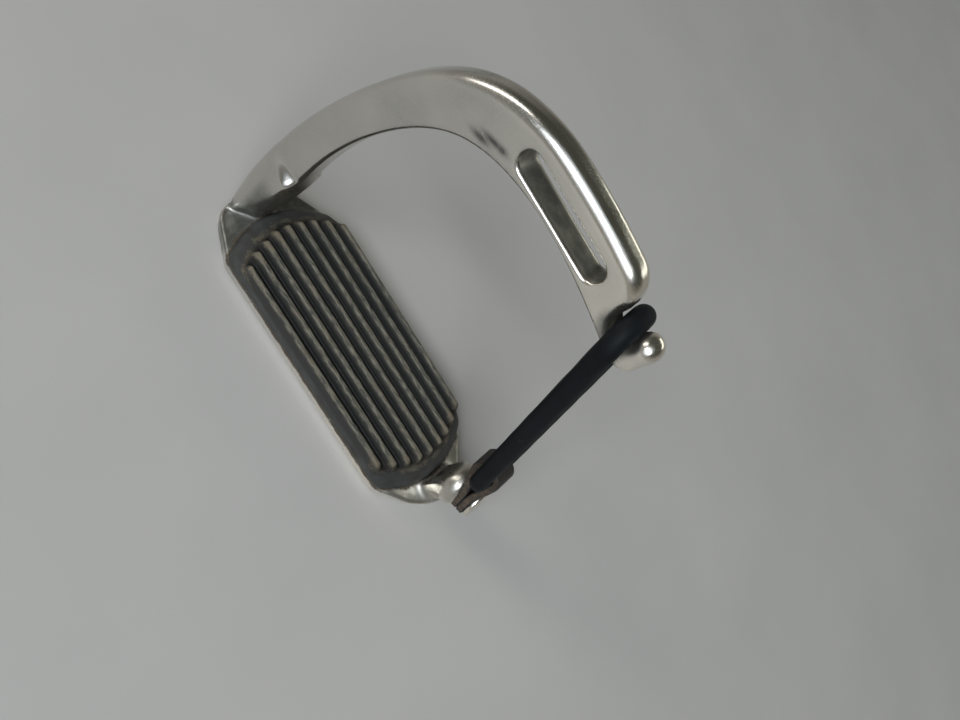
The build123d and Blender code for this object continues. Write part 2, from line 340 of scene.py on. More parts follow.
# Underside of the crown and inner face of the branch, from the toe down to the tread.
def innerCurve():
    innerX = -branchReach + casting["branchWidth"]
    return smoothCurve([
        (throatX + 2.6, throatFloor - casting["toeHeight"]),
        (shoulderX - 4.0, crownUnder - 0.8),
        (-8.0, crownUnder + 0.6),
        (0.5 * innerX, 0.95 * crownUnder),
        (0.81 * innerX, 0.75 * crownUnder),
        (0.955 * innerX, 0.5 * crownUnder),
        (0.99 * innerX, 0.28 * crownUnder),
        (1.09 * innerX, 0.0),
        (1.13 * innerX, -5.0),
    ])


# The arch from the front: outer curve, shoulder, throat, toe and inner curve, in X and Z.
def archOutline():
    size = (branchReach, crownTop)
    outer = smoothCurve(np.array([
        (-0.925, -0.04), (-0.955, 0.02), (-1.0, 0.2), (-0.955, 0.43), (-0.795, 0.71), (-0.51, 0.93),
        (-0.2, 0.994), (0.0, 1.0),
    ]) * size)
    radius = casting["cornerRadius"]
    cornerCentre = (shoulderX - radius, crownTop - 0.8 - radius)
    crown = smoothCurve([
        outer[-1], (0.6 * cornerCentre[0], crownTop - 0.25), (cornerCentre[0], crownTop - 0.8),
    ])
    corner = arcPoints(cornerCentre, radius, 90, 0)
    throat = arcPoints((throatX, throatFloor + casting["throatRadius"]), casting["throatRadius"], 180, 360)
    knob = arcPoints((ballX, ballZ), 2.9, 180, 0)
    toeRadius = 4.7
    toe = arcPoints((ballX - 1.8, throatFloor - casting["toeHeight"] + toeRadius), toeRadius, 0, -90)
    outline = np.concatenate([outer, crown[1:], corner, throat, knob, toe, innerCurve()])
    return outline[::-1]


# The outline that a band takes when it is drawn tight round the circles, by their reach in every
# direction.
def convexAround(circles):
    turn = np.radians(np.arange(0, 360, 0.5))
    way = np.stack([np.cos(turn), np.sin(turn)], 1)
    points = np.concatenate([np.array(centre) + radius * way for centre, radius in circles])
    reach = (points @ way.T).argmax(0)
    hull = points[reach]
    return hull[np.linalg.norm(hull - np.roll(hull, 1, axis=0), axis=1) > 1e-6]


pad = {
    "ribs": 9,
    "ribWidth": 2.7,
    "ribHeight": 2.6,
    "endMargin": 5.8,           # smooth border past the middle rib's ends
    "sideMargin": 0.27,
    "camber": 0.7,              # the crests fall this much from the middle to the sides
    "endFall": 2.4,             # the deck falls this much to the ends
    "bow": 7.8,                 # the corners stand this far back from the middle of the end
    "cornerRound": 4.0,
    "step": 0.5,
}


# The pad from above: straight long sides, bowed ends and round corners.
def padOutline():
    bow = pad["bow"]
    half = padHigh[1]
    radius = pad["cornerRound"]
    bowRadius = (bow**2 + half**2) / (2 * bow)
    bowCentre = padHigh[0] - bowRadius
    away = bowRadius - radius
    height = half - radius
    roundX = bowCentre + np.sqrt(away**2 - height**2)
    lean = np.degrees(np.arctan2(height, roundX - bowCentre))
    quarter = np.concatenate([
        arcPoints((bowCentre, 0), bowRadius, 0, lean),
        arcPoints((roundX, height), radius, lean, 90),
    ])
    top = np.concatenate([quarter, (quarter * (-1, 1))[::-1]])
    return np.concatenate([top, (top * (1, -1))[::-1]])


trayReachX = padHigh[0] + casting["trayEnd"]
trayHalfY = frameHigh[1]
trayEndRound = trayHalfY - casting["trayDrawIn"]
trayCornerX = padHigh[0] - casting["trayCornerBack"]
trayCornerY = trayHalfY - casting["trayCornerRound"]
footCornerX = casting["footCorner"] - trayReachX
archMap = distanceMap(archOutline())
footSpaceMap = distanceMap(np.concatenate([
    innerCurve(), [(70.0, -5.0), (70.0, throatFloor - casting["toeHeight"])],
]))
padMap = distanceMap(padOutline())
trayCircles = [((trayReachX - trayEndRound, 0), trayEndRound)]
for end in (-1, 1):
    trayCircles.append(((footCornerX, end * casting["footCornerAt"]), casting["footCorner"]))
for side in (-1, 1):
    for end in (-1, 1):
        trayCircles.append(((side * trayCornerX, end * trayCornerY), casting["trayCornerRound"]))
trayMap = distanceMap(convexAround(trayCircles))


# The flat arch: its outline carried fore and aft, rounder outside than inside, stepped out and
# widened below the flare's top, with a facet on the flare's inner edge, less the eye, plus the ball.
def archField(x, y, z):
    side = np.abs(y)
    depth = footSpaceMap(x, z)
    rounding = casting["innerRound"] + (casting["outerRound"] - casting["innerRound"]) * ease(depth, 3, 9)
    below = np.clip((casting["flareTop"] - z) / (casting["flareTop"] - casting["treadHeight"]), 0, 1.1)
    half = casting["thickness"] / 2
    underLedge = 1 - ease(z, casting["flareTop"] - 4, casting["flareTop"])
    ledge = casting["ledge"] * underLedge * (1 - ease(depth, 0, 12))
    half = half + (casting["flareFoot"] - half) * below + ledge * (1 - ease(below, 0.2, 1))
    plate = meet(archMap(x, z), side - half, rounding)
    facet = (side - half - depth + casting["facet"] * below) * 0.707
    plate = meet(plate, facet, 1.2)
    slotX = np.maximum(np.abs(x - eyeCentre[0]) - (casting["eyeLength"] - casting["eyeHeight"]) / 2, 0)
    slot = np.sqrt(slotX**2 + (z - eyeCentre[2])**2) - casting["eyeHeight"] / 2
    plate = cutFrom(plate, slot, casting["eyeRound"])
    plate = meet(plate, trayMap(x, y) - 2 * np.maximum(z - casting["treadHeight"], 0), 1.0)
    ball = np.sqrt((x - ballX)**2 + y**2 + (z - ballZ)**2) - casting["ballRadius"]
    return blendIn(plate, ball, 2.2)


# The tread's tray: tapered sides, round edges, and ends whose top falls away from the pad.
def trayField(x, y, z):
    taper = np.radians(casting["treadTaper"])
    wall = (trayMap(x, y) + (casting["treadHeight"] - z) * np.tan(taper)) * np.cos(taper)
    top = casting["treadHeight"] - 0.14 * np.maximum(np.abs(x) - padHigh[0] + 4, 0)
    return meet(meet(wall, z - top, 0.9), -z, 1.6)


# Boss, neck and domed head round one axis, and the arm that carries the boss up from the tray's end.
def studField(x, y, z):
    dx, dz = x - studCentre[0], z - studCentre[2]
    axial = dx * ringNormal[0] + dz * ringNormal[2]
    across = dx * ringAxis[0] + dz * ringAxis[2]
    radial = np.sqrt(across**2 + y**2)
    reach = casting["bossReach"]
    boss = meet(radial - casting["bossRadius"], axial + reach, 1.8)
    boss = meet(boss, -(axial + reach + 4.5), 2.5)
    low, high = np.array([51.0, 0.0, 2.0]), studCentre - ringNormal * (reach + 4.0)
    run = high - low
    share = np.clip(((x - low[0]) * run[0] + (z - low[2]) * run[2]) / (run @ run), 0, 1)
    away = np.sqrt((x - low[0] - share * run[0])**2 + y**2 + (z - low[2] - share * run[2])**2)
    arm = away - (5.2 + 1.2 * share)
    boss = meet(blendIn(boss, arm, 5), 0.6 - padMap(x, y), 1.5)     # stays clear of the pad's end
    neck = np.maximum(radial - casting["neckRadius"], np.abs(axial) - reach - 1)
    domeRadius = (casting["headRadius"]**2 + casting["headDome"]**2) / (2 * casting["headDome"])
    domeTop = reach + casting["headThickness"] + casting["headDome"]
    dome = np.sqrt(radial**2 + (axial - domeTop + domeRadius)**2) - domeRadius
    head = meet(meet(radial - casting["headRadius"], reach - axial, 0.3), dome, 0.5)
    return boss, np.minimum(neck, head)


# Arch, tray and boss run into one another with fillets, less the pad's room, its pocket and the two
# windows.
def frameField(x, y, z):
    boss, stud = studField(x, y, z)
    body = blendIn(trayField(x, y, z), boss, 7)
    body = blendIn(body, archField(x, y, z), 3.0)
    body = np.maximum(body, -z)
    outline = padMap(x, y)
    room = np.maximum(outline - 0.15, casting["treadHeight"] - z)
    pocket = np.maximum(outline + 2.2, casting["floorThickness"] - z)
    room, pocket = np.maximum(room, z - padHigh[2] - 1), np.maximum(pocket, z - padHigh[2])
    body = cutFrom(body, np.minimum(room, pocket), 0.15)
    for side in (-1, 1):
        middle = np.array([side * casting["windowAt"], 0, 0])
        window = boxField(x, y, z, middle - (12.5, 7.5, 1), middle + (12.5, 7.5, 5))
        recess = boxField(x, y, z, middle - (15.3, 10.3, 1), middle + (15.3, 10.3, 1.8))
        body = cutFrom(body, np.minimum(window, recess), 0.3)
    polish = 0.05 * waves(x, y, z, 26.0, 3)
    return np.minimum(body, stud) + polish


def makeCasting():
    step = casting["step"]
    points, faces = skinOf(frameField, frameLow, frameHigh, step)
    x, y, z = points.T
    nearPad = np.exp(-np.maximum(padMap(x, y), 0) / 1.5) * ease(z, 3, 7) * (1 - ease(z, 10, 20))
    toStud = np.sqrt(((points - studCentre)**2).sum(1))
    outAlong = (points - studCentre) @ ringNormal
    # Painted shade: darkening on the boss round the stud, where the leather sits.
    nearLeather = (1 - ease(toStud, 7.5, 12.0)) * (1 - ease(outAlong, 2.8, 3.6))
    # Painted shade and darker reflection, with some dirt in the eye: the steel's colour darkens in the eye, the
    # throat behind the ring, the branch's inner facet, the tray's end shelves and the boss, where it is also
    # rougher.
    onBoss = (1 - ease(toStud, 8.5, 15.0)) * (1 - ease(outAlong, -3.0, -1.5)) * ease(z, 14, 24)
    inEye = 1 - ease(np.abs(y), 2.0, 4.2)
    slotX = np.maximum(np.abs(x - eyeCentre[0]) - 12.35, 0)
    inEye *= 1 - ease(np.sqrt(slotX**2 + (z - eyeCentre[2])**2), 3.5, 4.2)
    toRing = np.sqrt((x - throatX)**2 + (z - throatFloor - 3)**2)
    inThroat = 1 - ease(toRing, 4.0, 7.0)
    onFacet = ease(x, -56, -52) * (1 - ease(x, -47, -44)) * (1 - ease(z, 24, 34))
    onShelf = ease(z, 6.0, 7.6) * (1 - ease(z, 9.0, 12.0)) * ease(np.abs(x), 40, 46)
    dullAndShaded = np.clip(inEye + 0.8 * inThroat + 0.85 * onFacet + 0.7 * onShelf + 0.6 * onBoss, 0, 1)
    # Real dirt beside the pad, and half as much painted shade round the stud.
    dirtAndShade = np.clip(nearPad + 0.5 * nearLeather, 0, 1)
    mark = np.zeros(len(x))
    for markX, markZ, length in ((-20.0, 109.5, 3.4), (-22.6, 107.0, 2.6), (-17.5, 110.3, 1.6)):
        alongIt, acrossIt = (x - markX) * 0.95 + (z - markZ) * 0.3, (z - markZ) * 0.95 - (x - markX) * 0.3
        mark = np.maximum(mark, np.exp(-(alongIt / length)**2 - (acrossIt / 0.8)**2) * (y < -3))
    piece = makeMesh("casting", points, faces, {"dirtAndShade": dirtAndShade, "dullAndShaded": dullAndShaded, "mark": mark})
    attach(piece, "iron")
    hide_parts("frame")
    return piece


padHalfX, padHalfY, padTop = padHigh[0], padHigh[1], padHigh[2]
ribPitch = (2 * (padHalfY - pad["sideMargin"]) - pad["ribWidth"]) / (pad["ribs"] - 1)


# Height of the deck, and how much of a rib stands on it: nothing in a groove, one on a crest. A rib's
# ends lie on a parabola and fade out over two millimetres, unevenly worn.
def ribShape(x, y):
    row = np.clip(np.round(y / ribPitch), -(pad["ribs"] // 2), pad["ribs"] // 2)
    across = np.abs(y - row * ribPitch)
    lift = 1 - ease(across, pad["ribWidth"] / 2 - 0.95, pad["ribWidth"] / 2 + 0.6)
    bow = pad["bow"] / padHalfY**2
    end = padHalfX - pad["endMargin"] - bow * (row * ribPitch)**2
    wornEnd = 0.5 * waves(x, y, 0 * x, 5.0, 11)
    lift = lift * ease(end - np.abs(x) + wornEnd, -0.6, 1.9)
    toEnd = padHalfX - bow * y**2 - np.abs(x)
    deck = padTop - pad["ribHeight"] - pad["camber"] * (y / padHalfY)**2
    deck = deck - pad["endFall"] * (1 - ease(toEnd, 0, 8.5))
    return deck, lift


# The outline carried up to the ribbed top with a round edge, on a foot and two plugs with lips.
def padField(x, y, z):
    outline = padMap(x, y)
    deck, lift = ribShape(x, y)
    worn = 0.07 * waves(x, y, 0 * x, 7.0, 5) + 0.05 * waves(x, y, 0 * x, 2.6, 6)
    top = deck + (pad["ribHeight"] + worn) * lift
    rounding = 1.0 + 1.5 * ease(np.abs(x), padHalfX - 14, padHalfX - 6)
    rim = casting["treadHeight"] + 0.05
    body = meet(meet(outline + 0.03 * waves(x, y, z, 9.0, 8), (z - top) * 0.7, rounding), rim - z, 0.3)
    foot = np.maximum(np.maximum(outline + 2.35, casting["floorThickness"] - z), z - rim - 1)
    body = np.minimum(body, foot)
    for side in (-1, 1):
        middle = np.array([side * casting["windowAt"], 0, 0])
        plug = boxField(x, y, z, middle + (-12.35, -7.35, 0.6), middle + (12.35, 7.35, 6))
        lip = boxField(x, y, z, middle + (-14.55, -9.55, 0.6), middle + (14.55, 9.55, 1.8))
        body = np.minimum(body, np.minimum(plug, lip))
    return body


def makePad():
    points, faces = skinOf(padField, padLow, padHigh, pad["step"])
    x, y, z = points.T
    deck, lift = ribShape(x, y)
    onTop = ease(z, casting["treadHeight"] + 2.5, casting["treadHeight"] + 5.0)
    crest = ease(z - deck, 1.5, pad["ribHeight"] - 0.15) * onTop
    between = np.abs(y) < padHalfY - 2
    bow = pad["bow"] / padHalfY**2
    toRibs = padHalfX - pad["endMargin"] - bow * y**2 - np.abs(x)
    # Painted shade: marks the grooves between the ribs, which the finish darkens.
    shadedGroove = (1 - ease(z - deck, 0.2, 1.6)) * onTop * ease(toRibs, -1.5, 1.0) * between
    ends = np.exp(-((toRibs - 0.5) / 4.0)**2) * onTop
    masks = {"crest": crest, "shadedGroove": shadedGroove, "ends": ends, "onTop": onTop}
    piece = makeMesh("treadPad", points, faces, masks)
    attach(piece, "iron")
    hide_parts("tread_pad")
    return piece


ring = {
    "strandRadius": 2.8,
    "footLength": 9.0,
    "footCorner": 3.95,
    "sideAtHook": 7.45,         # centre line, from the middle
    "stations": 420,
    "around": 40,
}


# A closed path: straight runs joined by tangent arcs of the given radii, in two coordinates.
def roundedLoop(corners, radii):
    corners = np.array(corners, float)
    parts = []
    for i, radius in enumerate(radii):
        here = corners[i]
        back = corners[i - 1] - here
        on = corners[(i + 1) % len(corners)] - here
        back, on = back / np.linalg.norm(back), on / np.linalg.norm(on)
        half = np.arccos(np.clip(back @ on, -1, 1)) / 2
        middle = (back + on) / np.linalg.norm(back + on)
        centre = here + middle * radius / np.sin(half)
        first = here + back * radius / np.tan(half) - centre
        last = here + on * radius / np.tan(half) - centre
        start, turn = np.arctan2(first[1], first[0]), np.pi - 2 * half
        swing = np.sign(first[0] * last[1] - first[1] * last[0])
        angles = start + swing * np.linspace(0, turn, 40)
        parts.append(centre + radius * np.stack([np.cos(angles), np.sin(angles)], 1))
    return np.concatenate(parts)


# The closed path again, with its points evenly spaced.
def evenly(path, count):
    closed = np.concatenate([path, path[:1]])
    length = np.concatenate([[0], np.cumsum(np.linalg.norm(np.diff(closed, axis=0), axis=1))])
    at = np.linspace(0, length[-1], count, endpoint=False)
    return np.stack([np.interp(at, length, closed[:, k]) for k in (0, 1)], 1)


# A round section carried along the loop; the strand flattens a little where it bears on the hook and
# the fold.
def makeRing():
    height = np.linalg.norm(ringTop - foldCentre)
    side = ring["sideAtHook"]
    lowX = ring["footLength"] / 2 + ring["footCorner"]
    corners = [(-lowX, 0), (lowX, 0), (side, height), (-side, height)]
    path = evenly(roundedLoop(corners, [ring["footCorner"]] * 2 + [0.96 * side] * 2), ring["stations"])
    run = np.roll(path, -1, axis=0) - np.roll(path, 1, axis=0)
    run /= np.linalg.norm(run, axis=1)[:, None]
    centre = foldCentre + path[:, :1] * np.array([0, 1, 0]) + path[:, 1:] * ringAxis
    outward = run[:, 1:] * np.array([0, 1, 0]) - run[:, :1] * ringAxis
    angle = np.linspace(0, 2 * np.pi, ring["around"], endpoint=False)
    radius = ring["strandRadius"] + 0 * path[:, :1] * angle
    bite = ease(path[:, 1], height - 3, height) + (1 - ease(path[:, 1], 0.0, 2.0))
    radius = radius - 0.10 * bite[:, None] * np.maximum(-np.cos(angle), 0)**2
    spots = centre[:, None] + radius[..., None] * (
        np.cos(angle)[None, :, None] * outward[:, None] + np.sin(angle)[None, :, None] * ringNormal
    )
    flat = spots.reshape(-1, 3)
    swell = 0.05 * waves(*flat.T, 14.0, 21)
    flat = flat + swell[:, None] * (flat - np.repeat(centre, len(angle), axis=0)) / ring["strandRadius"]
    faces = gridFaces(len(path) + 1, len(angle)) % len(flat)
    piece = makeMesh("rubberRing", flat, faces)
    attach(piece, "ring")
    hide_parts("rubber_ring")
    return piece


tab = {
    "thickness": 2.4,
    "endRadius": 6.0,
    "halfWaist": 4.0,
    "foldInside": 2.9,
    "edgeRound": 0.55,
    "stations": 150,
}


# Middle of the strap seen from the side: up one leg, round the ring and down the other. First number
# is out from the stud's middle, second is up from it.
def tabCentreLine():
    leg = tab["thickness"] / 2 + 0.03
    bend = tab["foldInside"] + tab["thickness"] / 2
    up = smoothCurve([
        (-leg, -tab["endRadius"]), (-leg, 0), (-leg - 0.15, 6), (-0.75 * bend, 13), (-bend, foldRise),
    ])
    over = arcPoints((0, foldRise), bend, 180, 0)
    return np.concatenate([up, over[1:-1], (up * (-1, 1))[::-1]])


# A flat strap's section, a rectangle with round corners, carried along the fold. Its half width is a
# circle at the ends over the stud and draws in to a waist at the fold.
def makeTab():
    line = tabCentreLine()
    length = np.concatenate([[0], np.cumsum(np.linalg.norm(np.diff(line, axis=0), axis=1))])
    share = np.linspace(0, 1, tab["stations"])
    share = 0.5 - 0.5 * np.cos(np.pi * share)
    at = share * length[-1]
    line = np.stack([np.interp(at, length, line[:, k]) for k in (0, 1)], 1)
    run = np.gradient(line, axis=0)
    run /= np.linalg.norm(run, axis=1)[:, None]
    up = line[:, 1]
    endHalf = np.sqrt(np.maximum(tab["endRadius"]**2 - np.minimum(up, 0)**2, 0))
    waisted = tab["endRadius"] + (tab["halfWaist"] - tab["endRadius"]) * ease(up, 0, 11)
    half = np.where(up < 0, endHalf, waisted)
    corner = np.minimum(tab["edgeRound"], half * 0.9)
    turn = np.radians(np.concatenate([np.linspace(q * 90, q * 90 + 90, 7) for q in range(4)]))
    signY = np.sign(np.cos(turn.reshape(4, 7)[:, 3])).repeat(7)
    signT = np.sign(np.sin(turn.reshape(4, 7)[:, 3])).repeat(7)
    section = np.stack([signY, signT, np.cos(turn), np.sin(turn)], 1)
    between = []
    for i in range(4):
        a, b = section[7 * i + 6], section[(7 * i + 7) % 28]
        steps = np.linspace(0, 1, 9 if a[1] == b[1] else 4)[1:-1, None]
        between.append(np.concatenate([section[7 * i:7 * i + 7], a + (b - a) * steps]))
    section = np.concatenate(between)
    halfT = tab["thickness"] / 2
    acrossY = section[:, 0] * (half - corner)[:, None] + section[:, 2] * corner[:, None]
    acrossT = section[:, 1] * (halfT - corner)[:, None] + section[:, 3] * corner[:, None]
    normal = np.stack([-run[:, 1], run[:, 0]], 1)
    inPlane = line[:, None] + acrossT[..., None] * normal[:, None]
    spots = studCentre + inPlane[..., :1] * ringNormal + inPlane[..., 1:] * ringAxis
    spots = spots + acrossY[..., None] * np.array([0, 1, 0])
    tips = [np.repeat(spots[k].mean(0)[None], len(section), 0)[None] for k in (0, -1)]
    spots = np.concatenate([tips[0], spots, tips[1]])
    raw = np.abs(section[:, 2])**1.5 * (np.abs(section[:, 0]) > 0)
    raw = np.concatenate([raw[None], np.repeat(raw[None], len(line), 0), raw[None]])
    points = spots.reshape(-1, 3)
    faces = gridFaces(len(spots), len(section))
    points = points + 0.06 * waves(*points.T, 6.0, 31)[:, None] * ringNormal
    piece = makeMesh("leatherTab", points, faces, {"rawEdge": raw.ravel()})
    closeTips(piece)
    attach(piece, "iron")
    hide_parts("leather_tab")
    return piece


# Joins the points that meet at a tip and turns every face outwards.
def closeTips(piece):
    shape = bmesh.new()
    shape.from_mesh(piece.data)
    bmesh.ops.remove_doubles(shape, verts=shape.verts, dist=1e-6)
    bmesh.ops.recalc_face_normals(shape, faces=shape.faces)
    shape.to_mesh(piece.data)
    shape.free()


# Adds a node, sets its properties or plain sockets, and links the sockets named.
def put(tree, kind, settings=None, links=None):
    node = tree.nodes.new("ShaderNode" + kind)
    for name, value in (settings or {}).items():
        if name in node.inputs:
            node.inputs[name].default_value = value
        else:
            setattr(node, name, value)
    for name, source in (links or {}).items():
        tree.links.new(source, node.inputs[name])
    return node


# A colour mix whose three parts are each a socket or a plain value.
def mixColour(tree, factor, first, second, mode="MIX"):
    node = tree.nodes.new("ShaderNodeMix")
    node.data_type = "RGBA"
    node.blend_type = mode
    for socket, part in ((node.inputs[0], factor), (node.inputs[6], first), (node.inputs[7], second)):
        if isinstance(part, bpy.types.NodeSocket):
            tree.links.new(part, socket)
        else:
            socket.default_value = part if isinstance(part, float) else (*part, 1)
    return node.outputs[2]


def maths(tree, operation, *parts, clamp=False):
    node = tree.nodes.new("ShaderNodeMath")
    node.operation = operation
    node.use_clamp = clamp
    for socket, part in zip(node.inputs, parts):
        if isinstance(part, bpy.types.NodeSocket):
            tree.links.new(part, socket)
        else:
            socket.default_value = part
    return node.outputs[0]


def rangeOf(tree, value, low, high, toLow=0.0, toHigh=1.0):
    limits = {"From Min": low, "From Max": high, "To Min": toLow, "To Max": toHigh}
    return put(tree, "MapRange", limits, {"Value": value}).outputs[0]


def noise(tree, vector, scale, detail=4.0, roughness=0.55, distortion=0.0):
    settings = {"Scale": scale, "Detail": detail, "Roughness": roughness, "Distortion": distortion}
    return put(tree, "TexNoise", settings, {"Vector": vector}).outputs["Fac"]


# Noise on coordinates that are first scaled by a factor for each direction.
def drawnNoise(tree, vector, factors, scale, detail, roughness):
    mapped = put(tree, "Mapping", {"Scale": factors}, {"Vector": vector}).outputs[0]
    return noise(tree, mapped, scale, detail, roughness)


def attribute(tree, name):
    return put(tree, "Attribute", {"attribute_name": name}).outputs["Fac"]


# A node group with named float inputs and their usual values, and named float outputs.
def newGroup(name, inputs, outputs):
    group = bpy.data.node_groups.new(name, "ShaderNodeTree")
    group.interface.new_socket("Vector", in_out="INPUT", socket_type="NodeSocketVector")
    for label, value in inputs.items():
        socket = group.interface.new_socket(label, in_out="INPUT", socket_type="NodeSocketFloat")
        socket.default_value = value
    for label in outputs:
        group.interface.new_socket(label, in_out="OUTPUT", socket_type="NodeSocketFloat")
    return group, group.nodes.new("NodeGroupInput"), group.nodes.new("NodeGroupOutput")


# Dust: a patchy cloud broken by specks. Amount 0 gives none and 1 covers.
def dustGroup():
    group, given, made = newGroup("dust", {"Size": 0.006, "Specks": 0.0004, "Amount": 0.5}, ["Dust"])
    cloudScale = maths(group, "DIVIDE", 1.0, given.outputs["Size"])
    speckScale = maths(group, "DIVIDE", 1.0, given.outputs["Specks"])
    at = given.outputs[0]
    cloud = put(group, "TexNoise", {"Detail": 6.0, "Roughness": 0.65}, {"Vector": at, "Scale": cloudScale})
    speck = put(group, "TexNoise", {"Detail": 3.0, "Roughness": 0.7}, {"Vector": at, "Scale": speckScale})
    specks = maths(group, "MULTIPLY", speck.outputs["Fac"], 0.4)
    mixed = maths(group, "MULTIPLY_ADD", cloud.outputs["Fac"], 0.6, specks)
    edge = maths(group, "SUBTRACT", 0.72, maths(group, "MULTIPLY", given.outputs["Amount"], 0.44))
    covered = maths(group, "MULTIPLY", maths(group, "SUBTRACT", mixed, edge), 7.0, clamp=True)
    group.links.new(covered, made.inputs["Dust"])
    return group


# Fine surface grain as a height: two sizes of noise, the second finer.
def grainGroup():
    group, given, made = newGroup("grain", {"Size": 0.001, "Fineness": 3.0}, ["Height"])
    scale = maths(group, "DIVIDE", 1.0, given.outputs["Size"])
    fine = maths(group, "MULTIPLY", scale, given.outputs["Fineness"])
    coarse = put(group, "TexNoise", {"Detail": 3.0}, {"Vector": given.outputs[0], "Scale": scale})
    small = put(group, "TexNoise", {"Detail": 3.0}, {"Vector": given.outputs[0], "Scale": fine})
    finer = maths(group, "MULTIPLY", small.outputs["Fac"], 0.35)
    height = maths(group, "MULTIPLY_ADD", coarse.outputs["Fac"], 0.65, finer)
    group.links.new(height, made.inputs["Height"])
    return group


# Hairlines: noise drawn out along two directions, thin where it peaks.
def scratchGroup():
    group, given, made = newGroup("scratches", {"Width": 0.00012, "Length": 0.02}, ["Scratches"])
    heights = []
    for turn in ((0.35, 0.2, 0.9), (1.2, 0.6, -0.5)):
        settings = {"rotation_type": "EULER_XYZ", "Rotation": turn}
        turned = put(group, "VectorRotate", settings, {"Vector": given.outputs[0]})
        across = maths(group, "DIVIDE", 1.0, given.outputs["Width"])
        along = maths(group, "DIVIDE", 1.0, given.outputs["Length"])
        size = put(group, "CombineXYZ", None, {"X": along, "Y": across, "Z": across})
        stretched = put(group, "VectorMath", {"operation": "MULTIPLY"}, {"Vector": turned.outputs[0]})
        group.links.new(size.outputs[0], stretched.inputs[1])
        line = put(group, "TexNoise", {"Scale": 1.0, "Detail": 2.0}, {"Vector": stretched.outputs[0]})
        heights.append(rangeOf(group, line.outputs["Fac"], 0.62, 0.75))
    group.links.new(maths(group, "MAXIMUM", *heights), made.inputs["Scratches"])
    return group


def use(tree, group, vector, **values):
    node = tree.nodes.new("ShaderNodeGroup")
    node.node_tree = group
    tree.links.new(vector, node.inputs["Vector"])
    for name, value in values.items():
        if isinstance(value, bpy.types.NodeSocket):
            tree.links.new(value, node.inputs[name])
        else:
            node.inputs[name].default_value = value
    return node.outputs[0]


# A material with one Principled shader, plain values set on its own sockets, and Object coordinates.
def newFinish(name, **plain):
    material = bpy.data.materials.new(name)
    material.use_nodes = True
    tree = material.node_tree
    shader = tree.nodes["Principled BSDF"]
    for label, value in plain.items():
        shader.inputs[label.replace("_", " ")].default_value = value
    return material, tree, shader, put(tree, "TexCoord").outputs["Object"]


def bumpTo(tree, shader, height, distance, strength=1.0):
    bump = put(tree, "Bump", {"Strength": strength, "Distance": distance}, {"Height": height})
    tree.links.new(bump.outputs[0], shader.inputs["Normal"])


# The warm polish of the open side, painted shade that greys the steel towards the closed branch, in its hollows
# and round the boss, its dirt and its marks.
steel = {
    "colour": (0.93, 0.875, 0.775),
    "smudgeAndShadeGrey": (0.56, 0.545, 0.51),      # smudges, and painted shade greying the steel towards the closed branch
    # painted shade: the dark grey for the eye, throat, facet, shelves and boss
    "dullAndShaded": (0.17, 0.172, 0.155),
    # brown for real dirt beside the pad and painted shade under the leather
    "dirtAndShade": (0.075, 0.058, 0.038),
    "mark": (0.07, 0.07, 0.075),
    "smooth": 0.12,
    "rough": 0.30,
}


